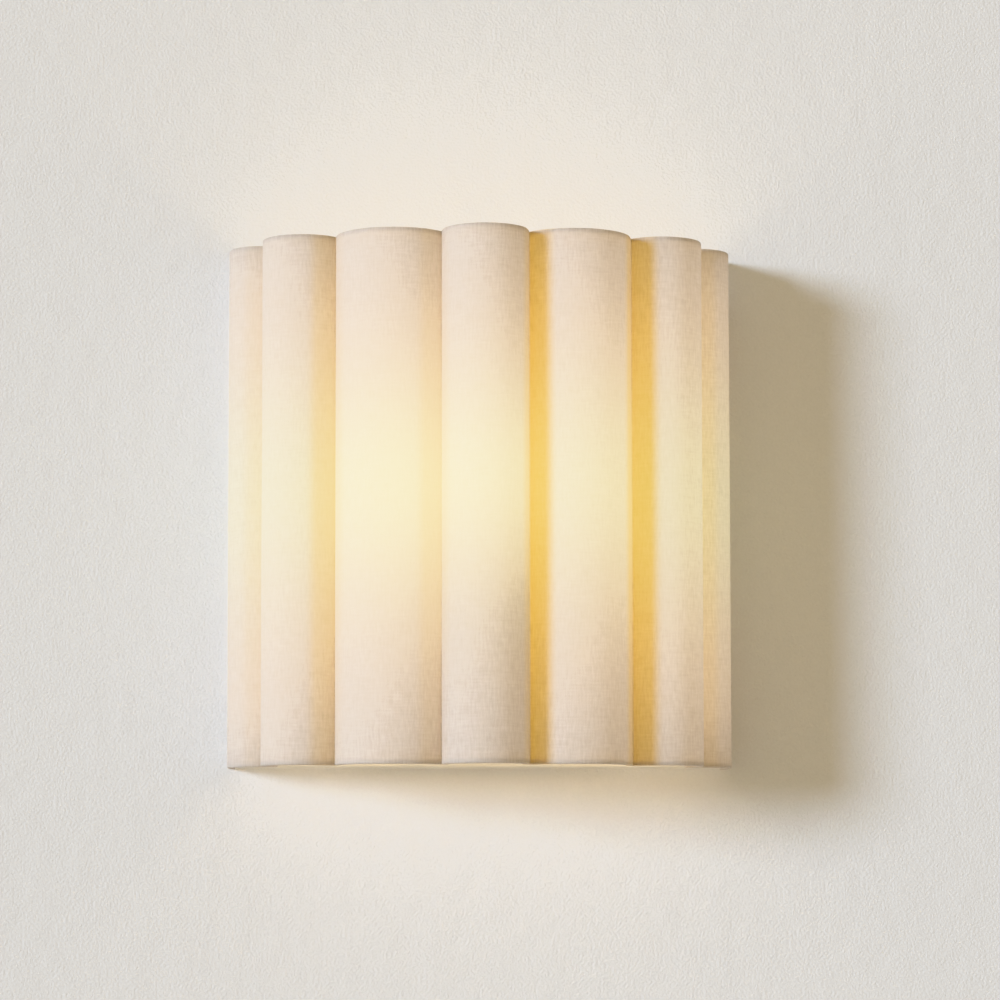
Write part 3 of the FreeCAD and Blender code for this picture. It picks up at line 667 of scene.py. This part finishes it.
GREEN = HardFinish(
    "green_screw", (0.07, 0.30, 0.12), (0.04, 0.2, 0.08), worn=(0.5, 0.5, 0.45), gloss=(0.3, 0.45),
    scale=700.0, wear=0.8)
HOLDER = HardFinish(
    "moulded_holder", (0.85, 0.84, 0.79), (0.80, 0.785, 0.73), worn=(0.74, 0.72, 0.67),
    gloss=(0.22, 0.34), scale=500.0, relief=0.02 * MM, wear=0.3, coat=0.15)
VITRITE = HardFinish(
    "dark_insulator", (0.035, 0.035, 0.045), (0.02, 0.02, 0.025), worn=(0.12, 0.12, 0.13),
    gloss=(0.1, 0.22), scale=400.0, wear=0.3)
RUBBER = HardFinish(
    "black_rubber", (0.035, 0.035, 0.035), (0.022, 0.022, 0.022), worn=(0.09, 0.09, 0.09),
    gloss=(0.6, 0.8), scale=1200.0, wear=0.3)
BLACK_LEAD = HardFinish(
    "black_insulation", (0.03, 0.03, 0.032), (0.018, 0.018, 0.02), worn=(0.08, 0.08, 0.08),
    gloss=(0.36, 0.5), scale=900.0, wear=0.2)
WHITE_LEAD = HardFinish(
    "white_insulation", (0.84, 0.83, 0.79), (0.78, 0.77, 0.72), worn=(0.7, 0.69, 0.65),
    gloss=(0.36, 0.5), scale=900.0, wear=0.2)
BLOCK = HardFinish(
    "moulded_block", (0.83, 0.80, 0.69), (0.77, 0.73, 0.62), worn=(0.7, 0.67, 0.58),
    gloss=(0.3, 0.42), scale=600.0, wear=0.3)
PALE_FLOOR = HardFinish(
    "pale_floor", (0.74, 0.72, 0.69), (0.70, 0.68, 0.65), worn=(0.7, 0.68, 0.65), gloss=(0.6, 0.75),
    scale=60.0, wear=0.0, dust=0.0)


def dress(finish: Finish, *nodes: str) -> None:
    """Give nodes of the frame a finish in place of their plain colour.

    Args:
        finish: the finish whose material they get.
        nodes: their names.
    """
    for node in nodes:
        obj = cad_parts[node]
        obj.data.materials.clear()
        obj.data.materials.append(finish.material())
        log.info("%s: %s", node, finish.name)


def put(name: str, data: bpy.types.ID) -> bpy.types.Object:
    """Make an object and link it to the scene.

    Args:
        name: the object's name.
        data: its mesh, light or camera.

    Returns:
        The linked object.
    """
    made = bpy.data.objects.new(name, data)
    bpy.context.scene.collection.objects.link(made)
    return made


# ---- cloth mesh
@dataclass
class ClothMesh:
    """Vertices, faces and cloth coordinates of a piece that is laid out as a grid."""

    CLOTH_MAP = "cloth"
    # Names of the masks that place painted light on the cloth: fold glow, tint away from the lamp's height,
    # hot spot.
    PAINTED_FOLD_MASK = "fold"
    PAINTED_TINT_MASK = "painted_tint_level"
    PAINTED_HOT_SPOT_MASK = "painted_hot_spot"
    points: list[Vector] = field(default_factory=list)
    faces: list[tuple[int, ...]] = field(default_factory=list)
    cloth: list[Pair] = field(default_factory=list)
    masks: dict[str, list[float]] = field(default_factory=dict)
    turned: list[int] = field(default_factory=list)

    def grid(self, rows: list[list[Vector]], widths: list[float], heights: list[float],
             hem_rows: int) -> None:
        """Fill the mesh from rows of points, seen from the front, top row first.

        Args:
            rows: points, row by row, all of one length.
            widths: the cloth's coordinate across for each column.
            heights: the cloth's coordinate along for each row.
            hem_rows: how many rows of faces at either end are turned in.
        """
        columns = len(rows[0])
        for row, height in zip(rows, heights):
            self.points += row
            self.cloth += [(width, height) for width in widths]
        bands = len(rows) - 1
        for j in range(bands):
            self.turned += [int(min(j, bands - 1 - j) < hem_rows)] * (columns - 1)
            for i in range(columns - 1):
                a = j * columns + i
                self.faces.append((a, a + columns, a + columns + 1, a + 1))

    def build(self, name: str, finish: Finish, hem_finish: Finish) -> bpy.types.Object:
        """Make the object, smooth and dressed.

        Args:
            name: the piece's name.
            finish: its finish.
            hem_finish: the finish of what is turned in.

        Returns:
            The linked object.
        """
        mesh = bpy.data.meshes.new(name)
        mesh.from_pydata([tuple(p) for p in self.points], [], self.faces)
        layer = mesh.uv_layers.new(name=self.CLOTH_MAP)
        for loop in mesh.loops:
            layer.data[loop.index].uv = self.cloth[loop.vertex_index]
        for label, values in self.masks.items():
            mesh.attributes.new(label, "FLOAT", "POINT").data.foreach_set("value", values)
        mesh.shade_smooth()
        mesh.materials.append(finish.material())
        mesh.materials.append(hem_finish.material())
        mesh.polygons.foreach_set("material_index", self.turned)
        mesh.update()
        return put(name, mesh)


# ---- the shade
@dataclass(frozen=True)
class Lobe:
    """One lobe seen from above."""

    x: float
    y: float
    radius: float

    def rim(self, angle: float) -> Vector:
        """Return the point of the lobe's circle at an angle in radians."""
        return Vector((self.x + self.radius * math.cos(angle), self.y + self.radius * math.sin(angle), 0.0))

    def towards(self, point: Vector) -> float:
        """Return the angle at which a point lies from the lobe's centre."""
        return math.atan2(point.y - self.y, point.x - self.x)


@dataclass(frozen=True)
class Station:
    """A place along the scalloped wall, and the way that leads into the shade."""

    outer: Vector
    inward: Vector

    def at(self, depth: float, height: float) -> Vector:
        """Return the point this deep inside the outer face, at a height."""
        flat = self.outer + self.inward * depth
        return Vector((flat.x, flat.y, height))


@dataclass
class LinenShade:
    """The shade: linen over seven lobes, its liners and its wire frame."""

    HEM_ROWS = 6
    height: float = 309.0 * MM
    wall_gap: float = 0.6 * MM
    # Each kind of lobe: its radius, and how far its centre stands off the wall.
    front: Pair = (25.5 * MM, 100.0 * MM)
    broad: Pair = (34.3 * MM, 76.0 * MM)
    corner: Pair = (24.7 * MM, 60.0 * MM)
    side: Pair = (21.0 * MM, 24.0 * MM)
    front_broad_overlap: float = 2.3 * MM
    broad_corner_overlap: float = 3.9 * MM
    corner_side_overlap: float = 2.4 * MM
    linen_middle: float = 0.25 * MM
    rim_width: float = 4.6 * MM
    rim_round: float = 0.8 * MM
    rim_step: float = 30.0
    rim_steps: int = 4
    hem_steps: int = 3
    hem_depth: float = 9.0 * MM
    column_step: float = math.radians(2.2)
    fold_steps: int = 8
    row_step: float = 5.0 * MM
    unevenness: float = 0.12 * MM
    inner_share: float = 0.5
    wave_scale: Pair = (38.0, 17.0)
    return_steps: int = 5
    # Where a fold's painted deep glow is full and where it ends, from the fold's bottom.
    painted_fold_reach: Pair = (12.0 * MM, 19.5 * MM)
    # Painted light: the middle of a painted hot spot of lamplight, left of the lamp, and how far it reaches:
    # across, then up. Its height and upward reach also centre the painted tint away from the lamp's height.
    painted_light_centre: Pair = (-50.0 * MM, 4.0 * MM)
    painted_light_reach: Pair = (49.0 * MM, 75.0 * MM)
    # How deep the painted glow gets on the left and the right side of each fold. It is strongest on the
    # sides right of the middle that the key light leaves in shade.
    painted_fold_depths: tuple[Pair, ...] = (
        (0.2, 0.2), (0.5, 0.15), (0.2, 0.15), (0.4, 1.0), (0.6, 1.0), (0.3, 0.3))
    linen: LinenFinish = LinenFinish()
    hem_linen: HemFinish = HemFinish()
    board: LinerFinish = LinerFinish()

    def lobes(self) -> list[Lobe]:
        """Return the seven lobes from the left side to the right side.

        Returns:
            The lobes, spaced so that neighbours overlap as named.
        """
        def step(a: Pair, b: Pair, overlap: float) -> float:
            """Return how far apart two neighbours stand along the wall."""
            return math.sqrt((a[0] + b[0] - overlap) ** 2 - (a[1] - b[1]) ** 2)

        broad_x = step(self.front, self.broad, self.front_broad_overlap)
        corner_x = broad_x + step(self.broad, self.corner, self.broad_corner_overlap)
        side_x = corner_x + step(self.corner, self.side, self.corner_side_overlap)
        right = [Lobe(x, -out, radius) for x, (radius, out) in
                 ((broad_x, self.broad), (corner_x, self.corner), (side_x, self.side))]
        left = [Lobe(-lobe.x, lobe.y, lobe.radius) for lobe in reversed(right)]
        return left + [Lobe(0.0, -self.front[1], self.front[0])] + right

    @staticmethod
    def valley(a: Lobe, b: Lobe) -> Vector:
        """Return the point where two neighbours meet on the front.

        Args:
            a: the left lobe.
            b: the right lobe.

        Returns:
            The fold's place.
        """
        dx, dy = b.x - a.x, b.y - a.y
        apart = math.hypot(dx, dy)
        along = (apart ** 2 + a.radius ** 2 - b.radius ** 2) / (2 * apart)
        rise = math.sqrt(a.radius ** 2 - along ** 2)
        return Vector((a.x + (dx * along + dy * rise) / apart, a.y + (dy * along - dx * rise) / apart, 0.0))

    def valleys(self) -> list[Vector]:
        """Return the six folds' places from left to right."""
        lobes = self.lobes()
        return [self.valley(a, b) for a, b in zip(lobes, lobes[1:])]

    def stations(self) -> list[Station]:
        """Follow the scalloped wall from the left back edge to the right one.

        Returns:
            The places in that order.
        """
        lobes, valleys = self.lobes(), self.valleys()
        inward = Vector((1.0, 0.0, 0.0))
        half_width = lobes[-1].x + lobes[-1].radius
        returns = [self.wall_gap + (self.side[1] - self.wall_gap) * i / self.return_steps
                   for i in range(self.return_steps)]
        places = [Station(Vector((-half_width, -out, 0.0)), inward) for out in returns]
        for index, lobe in enumerate(lobes):
            start = -math.pi if index == 0 else lobe.towards(valleys[index - 1])
            end = 0.0 if index == len(valleys) else lobe.towards(valleys[index])
            start -= 2 * math.pi if start > end else 0.0
            count = math.ceil((end - start) / self.column_step)
            for i in range(count + 1):
                angle = start + (end - start) * i / count
                places.append(Station(lobe.rim(angle), Vector((-math.cos(angle), -math.sin(angle), 0.0))))
            if index < len(valleys):
                meet = lobes[index + 1].towards(valleys[index]) + math.pi
                places += self.fold(valleys[index], end + math.pi, meet)
        places += [Station(Vector((half_width, -out, 0.0)), -inward) for out in reversed(returns)]
        return places

    def fold(self, valley: Vector, leave: float, meet: float) -> list[Station]:
        """Turn round one valley's fold, between the two lobes' last places.

        Args:
            valley: the fold's place.
            leave: the inward angle at which the left lobe ends.
            meet: the inward angle at which the right lobe starts.

        Returns:
            The places in the fold.
        """
        while meet > leave:
            meet -= 2 * math.pi
        turns = [leave + (meet - leave) * i / self.fold_steps for i in range(1, self.fold_steps)]
        return [Station(valley, Vector((math.cos(turn), math.sin(turn), 0.0))) for turn in turns]

    def profile(self) -> list[Pair]:
        """Follow the cloth down: hem, rim, outer face, rim, hem.

        Returns:
            Depth inside the outer face, and height, of each row.
        """
        top = self.height / 2
        outer, inner = self.linen_middle, self.rim_width
        arc = [(self.rim_round * (1 - math.cos(a)), top - self.rim_round * (1 - math.sin(a)))
               for a in (math.radians(self.rim_step * i) for i in range(self.rim_steps))]
        round_out = [(outer + across, height) for across, height in arc]
        round_in = [(inner - across, height) for across, height in arc]
        hem_face = self.hem_depth - 2 * self.rim_round
        hem = [(inner, top - self.hem_depth + hem_face * i / self.hem_steps)
               for i in range(self.hem_steps)]
        upper = hem + round_in + round_out[::-1]
        rows = int((self.height - 4 * self.rim_round) / self.row_step)
        reach = top - 2 * self.rim_round
        face = [(outer, reach - 2 * reach * i / rows) for i in range(rows + 1)]
        lower = [(depth, -height) for depth, height in reversed(upper)]
        return upper + face + lower

    def painted_fold_share(self, stations: list[Station]) -> list[float]:
        """Tell how strongly each station shows the painted fold glow, by how deep in a fold it lies.

        Args:
            stations: the places along the wall.

        Returns:
            A share for each, highest near a fold's bottom and 0 out on the lobes.
        """
        folds = list(zip(self.valleys(), self.painted_fold_depths))
        full, none = self.painted_fold_reach
        shares = []
        for station in stations:
            away, depth = min(((station.outer - valley).length, depths[int(station.outer.x > valley.x)])
                              for valley, depths in folds)
            fade = min(1.0, max(0.0, (none - away) / (none - full)))
            shares.append(depth * fade * fade * (3.0 - 2.0 * fade))
        return shares

    def painted_light_shares(self, point: Vector) -> Pair:
        """Return a point's shares of painted light: how level it is with the painted light's middle, for the
        tint, and how near the painted hot spot.
        """
        level = math.exp(-((point.z - self.painted_light_centre[1]) / self.painted_light_reach[1]) ** 2)
        return level, level * math.exp(-((point.x - self.painted_light_centre[0]) / self.painted_light_reach[0]) ** 2)

    def uneven(self, point: Vector, depth: float) -> float:
        """Tell how far inside its true line hand-laid linen lies.

        Args:
            point: a point on the true line.
            depth: how deep inside the outer face it lies.

        Returns:
            The distance.
        """
        across, up = self.wave_scale
        wave = noise.noise(Vector((point.x * across, point.y * across, point.z * up)))
        share = 1.0 if depth < 2 * self.linen_middle else self.inner_share
        return self.unevenness * abs(wave) * share

    def build_linen(self) -> None:
        """Lay the linen as one sheet, rolled over both rings."""
        stations = self.stations()
        profile = self.profile()
        rows, heights, length = [], [], 0.0
        for k, (depth, height) in enumerate(profile):
            if k:
                length += math.dist(profile[k - 1], profile[k])
            heights.append(length)
            flat = [station.at(depth, height) for station in stations]
            rows.append([station.at(depth + self.uneven(point, depth), height)
                         for station, point in zip(stations, flat)])
        widths = [0.0]
        middle = [station.at(self.linen_middle, 0.0) for station in stations]
        for a, b in zip(middle, middle[1:]):
            widths.append(widths[-1] + (b - a).length)
        cloth = ClothMesh()
        cloth.grid(rows, widths, heights, self.HEM_ROWS)
        # Painted light: shares for the tint away from the lamp's height and for the hot spot.
        shares = [self.painted_light_shares(point) for point in cloth.points]
        cloth.masks = {cloth.PAINTED_FOLD_MASK: self.painted_fold_share(stations) * len(rows),
                       cloth.PAINTED_TINT_MASK: [level for level, near in shares],
                       cloth.PAINTED_HOT_SPOT_MASK: [near for level, near in shares]}
        piece = cloth.build("linen_shade_cover", self.linen, self.hem_linen)
        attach(piece, "shade")
        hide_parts("linen_cover", "rolled_hem_top", "rolled_hem_bottom")
        log.info("%s: flat %.3f x %.3f m", piece.name, widths[-1], heights[-1])

    def dress_frame(self) -> None:
        """Finish the liners and the wire frame."""
        dress(self.board, *(f"lobe_liner_{index + 1}" for index in range(len(self.lobes()))))
        dress(WHITE_WIRE, *(f"valley_rib_{index + 1}" for index in range(len(self.valleys()))),
              "shade_ring_top", "shade_ring_bottom", "back_bar_top", "back_bar_bottom",
              "back_upright_left", "back_upright_right")

    def build(self) -> None:
        """Build and dress the whole shade."""
        self.build_linen()
        self.dress_frame()
        dress(NICKEL, "thumb_nut_top", "thumb_nut_bottom")


@dataclass
class WallFixing:
    """Strap, pan and their fasteners."""

    zinc_nodes: tuple[str, ...] = ("wall_strap", "strap_studs", "strap_lock_nuts", "shade_studs",
                                   "bracket_rivets", "holder_nipple", "nipple_nut")

    def build(self) -> None:
        """Dress the wall side of the light."""
        dress(ZINC, *self.zinc_nodes)
        dress(GREEN, "ground_screw")
        dress(NICKEL, "pan_cap_nuts")
        dress(WHITE_PAN, "back_pan", "lamp_bracket")


@dataclass
class Lampholder:
    """Lampholder and its wiring."""

    brass_nodes: tuple[str, ...] = ("socket_screw_shell", "socket_contact", "terminal_screws",
                                    "lamp_button")

    def build(self) -> None:
        """Dress the holder, its contacts, the leads and the terminal block."""
        dress(HOLDER, "socket_body")
        dress(BRASS, *self.brass_nodes)
        dress(BLACK_LEAD, "lead_live")
        dress(WHITE_LEAD, "lead_neutral")
        dress(RUBBER, "lead_grommet")
        dress(BLOCK, "terminal_block")


@dataclass
class Lamp:
    """Screw-in lamp with an opal bulb."""

    bulb_radius: float = 30.0 * MM
    neck_radius: float = 14.0 * MM
    neck_sweep: float = 45.0 * MM
    foot_radius: float = 12.3 * MM
    round_steps: int = 72
    crown_steps: int = 26
    sweep_steps: int = 14
    glass: GlowingGlassFinish = GlowingGlassFinish()

    def outline(self) -> list[Pair]:
        """Follow the glass from the crown to the foot.

        Returns:
            Radius, and height in the frame, of each ring of points.
        """
        low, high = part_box("lamp_glass")
        centre = high.z - self.bulb_radius
        crown = math.pi / 2
        sweep_x = self.neck_radius + self.neck_sweep
        fall = math.sqrt((self.bulb_radius + self.neck_sweep) ** 2 - sweep_x ** 2)
        touch = -math.atan2(fall, sweep_x)
        points = []
        for i in range(1, self.crown_steps + 1):
            angle = crown + (touch - crown) * i / self.crown_steps
            points.append((self.bulb_radius * math.cos(angle), centre + self.bulb_radius * math.sin(angle)))
        for i in range(1, self.sweep_steps + 1):
            angle = math.pi + touch - touch * i / self.sweep_steps
            points.append((sweep_x + self.neck_sweep * math.cos(angle),
                           centre - fall + self.neck_sweep * math.sin(angle)))
        points.append((self.foot_radius, low.z))
        return points

    def build_bulb(self) -> None:
        """Turn the bulb round the lamp's axis, closed at the foot."""
        low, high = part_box("lamp_glass")
        axis = (low + high) / 2
        outline, steps = self.outline(), self.round_steps
        turns = [2 * math.pi * k / steps for k in range(steps)]
        verts = [(axis.x, axis.y, high.z)]
        verts += [(axis.x + radius * math.cos(turn), axis.y + radius * math.sin(turn), height)
                  for radius, height in outline for turn in turns]
        around = [(k, (k + 1) % steps) for k in range(steps)]
        faces: list[tuple[int, ...]] = [(0, 1 + k, 1 + after) for k, after in around]
        for row in range(len(outline) - 1):
            upper, lower = 1 + row * steps, 1 + (row + 1) * steps
            faces += [(upper + k, lower + k, lower + after, upper + after) for k, after in around]
        last = 1 + (len(outline) - 1) * steps
        faces.append(tuple(last + k for k in reversed(range(steps))))
        mesh = bpy.data.meshes.new("lamp_bulb")
        mesh.from_pydata(verts, [], faces)
        mesh.shade_smooth()
        mesh.materials.append(self.glass.material())
        bulb = put("lamp_bulb", mesh)
        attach(bulb, "lamp")
        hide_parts("lamp_glass")
        log.info("lamp_bulb: %d faces", len(faces))

    def build(self) -> None:
        """Build the bulb and dress the cap."""
        self.build_bulb()
        dress(CAP_METAL, "lamp_cap")
        dress(VITRITE, "lamp_insulator")


# ---- the studio
class Tone(Enum):
    """Colours of the studio's lights."""

    DAYLIGHT = (0.70, 0.82, 1.0)
    ROOM = (1.0, 0.81, 0.52)
    LAMP = (1.0, 0.82, 0.63)
    GROUND = (0.72, 0.71, 0.69)


@dataclass
class Studio:
    """Wall, floor, soft light and the camera."""

    wall_half: float = 3.0
    wall_back: float = 0.05 * MM
    pan_cover: float = 9.0 * MM
    floor_height: float = -1.6
    key_travel: Triple = (1.48, 1.0, -0.28)
    key_distance: float = 1.5
    key_strength: float = 2.98
    key_softness: float = math.radians(14.0)
    room_strength: float = 0.58
    bounce_place: Triple = (0.0, -0.019, 0.0)
    bounce_size: Pair = (0.27, 0.28)
    bounce_power: float = 0.56
    camera_place: Triple = (-0.0932, -2.1, -0.2166)
    camera_yaw: float = math.radians(2.082)
    camera_pitch: float = math.radians(4.465)
    lens: float = 125.96
    sensor: float = 36.0
    shift: Pair = (0.05, 0.10)

    def plane(self, name: str, corners: list[Triple],
              faces: list[tuple[int, ...]], finish: Finish) -> None:
        """Add one flat stage piece.

        Args:
            name: the piece's name.
            corners: its points.
            faces: its faces by point number.
            finish: its finish.
        """
        mesh = bpy.data.meshes.new(name)
        mesh.from_pydata(corners, [], faces)
        mesh.materials.append(finish.material())
        obj = put(name, mesh)

    def build_stage(self) -> None:
        """Add the wall that the light hangs on, open behind the pan, and a pale floor below."""
        w, y, z = self.wall_half, self.wall_back, self.floor_height
        low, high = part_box("back_pan")
        left, right = low.x + self.pan_cover, high.x - self.pan_cover
        foot, head = low.z + self.pan_cover, high.z - self.pan_cover
        corners = [(-w, y, z), (w, y, z), (w, y, w), (-w, y, w),
                   (left, y, foot), (right, y, foot), (right, y, head), (left, y, head)]
        around = [(i, (i + 1) % 4, 4 + (i + 1) % 4, 4 + i) for i in range(4)]
        self.plane("plaster_wall", corners, around, PlasterFinish())
        ground = [(-w, -2 * w, z), (w, -2 * w, z), (w, y, z), (-w, y, z)]
        self.plane("floor", ground, [(0, 1, 2, 3)], PALE_FLOOR)

    def build_lights(self) -> None:
        """Add the soft light from the upper left, the lamp's returned light and the room."""
        sun = bpy.data.lights.new("key_light", "SUN")
        sun.energy = self.key_strength
        sun.angle = self.key_softness
        sun.color = Tone.DAYLIGHT.value
        key = put("key_light", sun)
        key.rotation_mode = "QUATERNION"
        key.rotation_quaternion = Vector(self.key_travel).to_track_quat("-Z", "Y")
        key.location = Vector(self.key_travel) * -self.key_distance
        area = bpy.data.lights.new("lamp_bounce", "AREA")
        area.shape, area.size, area.size_y = "RECTANGLE", *self.bounce_size
        area.energy, area.color = self.bounce_power, Tone.LAMP.value
        bounce = put("lamp_bounce", area)
        bounce.location = self.bounce_place
        bounce.rotation_euler = (math.radians(-90.0), 0.0, 0.0)
        bounce.visible_camera = bounce.visible_glossy = False
        bpy.context.scene.world = self.room()

    def room(self) -> bpy.types.World:
        """Make the room: an even warm light, and a plain pale ground where the camera sees it.

        Returns:
            The world.
        """
        world = bpy.data.worlds.new("room")
        world.use_nodes = True
        world.node_tree.nodes.clear()
        tree = Tree(world.node_tree)
        light = tree.add("ShaderNodeBackground", {"Color": Tone.ROOM.value, "Strength": self.room_strength})
        ground = tree.add("ShaderNodeBackground", {"Color": Tone.GROUND.value})
        path = tree.add("ShaderNodeLightPath")
        both = tree.either(path.outputs["Is Camera Ray"], light.outputs[0], ground.outputs[0])
        tree.add("ShaderNodeOutputWorld", {"Surface": both})
        return world

    def build_camera(self) -> None:
        """Set the camera below and left of the light, looking up at it."""
        data = bpy.data.cameras.new("camera")
        data.lens, data.sensor_width = self.lens, self.sensor
        data.shift_x, data.shift_y = self.shift
        camera = put("camera", data)
        pitch, yaw = self.camera_pitch, self.camera_yaw
        ahead = Vector((math.sin(yaw) * math.cos(pitch), math.cos(yaw) * math.cos(pitch),
                        math.sin(pitch)))
        turn = ahead.to_track_quat("-Z", "Y").to_matrix().to_4x4()
        camera.matrix_world = Matrix.Translation(Vector(self.camera_place)) @ turn
        bpy.context.scene.camera = camera

    def set_picture(self) -> None:
        """Choose the picture's tone curve and the light's bounces."""
        bpy.context.scene.view_settings.view_transform = "Khronos PBR Neutral"
        cycles = bpy.context.scene.cycles
        cycles.max_bounces = 16
        cycles.diffuse_bounces = 10
        cycles.transparent_max_bounces = 16
        cycles.use_denoising = True
        cycles.caustics_reflective = cycles.caustics_refractive = False

    def build(self) -> None:
        """Build the studio."""
        self.build_stage()
        self.build_lights()
        self.build_camera()
        self.set_picture()
        log.info("studio: wall, floor, key light, room light and camera")


def main() -> None:
    """Build every sub-assembly and the studio."""
    logging.basicConfig(level=logging.INFO, format="%(name)s %(message)s")
    for assembly in (LinenShade(), WallFixing(), Lampholder(), Lamp(), Studio()):
        log.info("building %s", type(assembly).__name__)
        assembly.build()


if __name__ == "__main__":
    main()
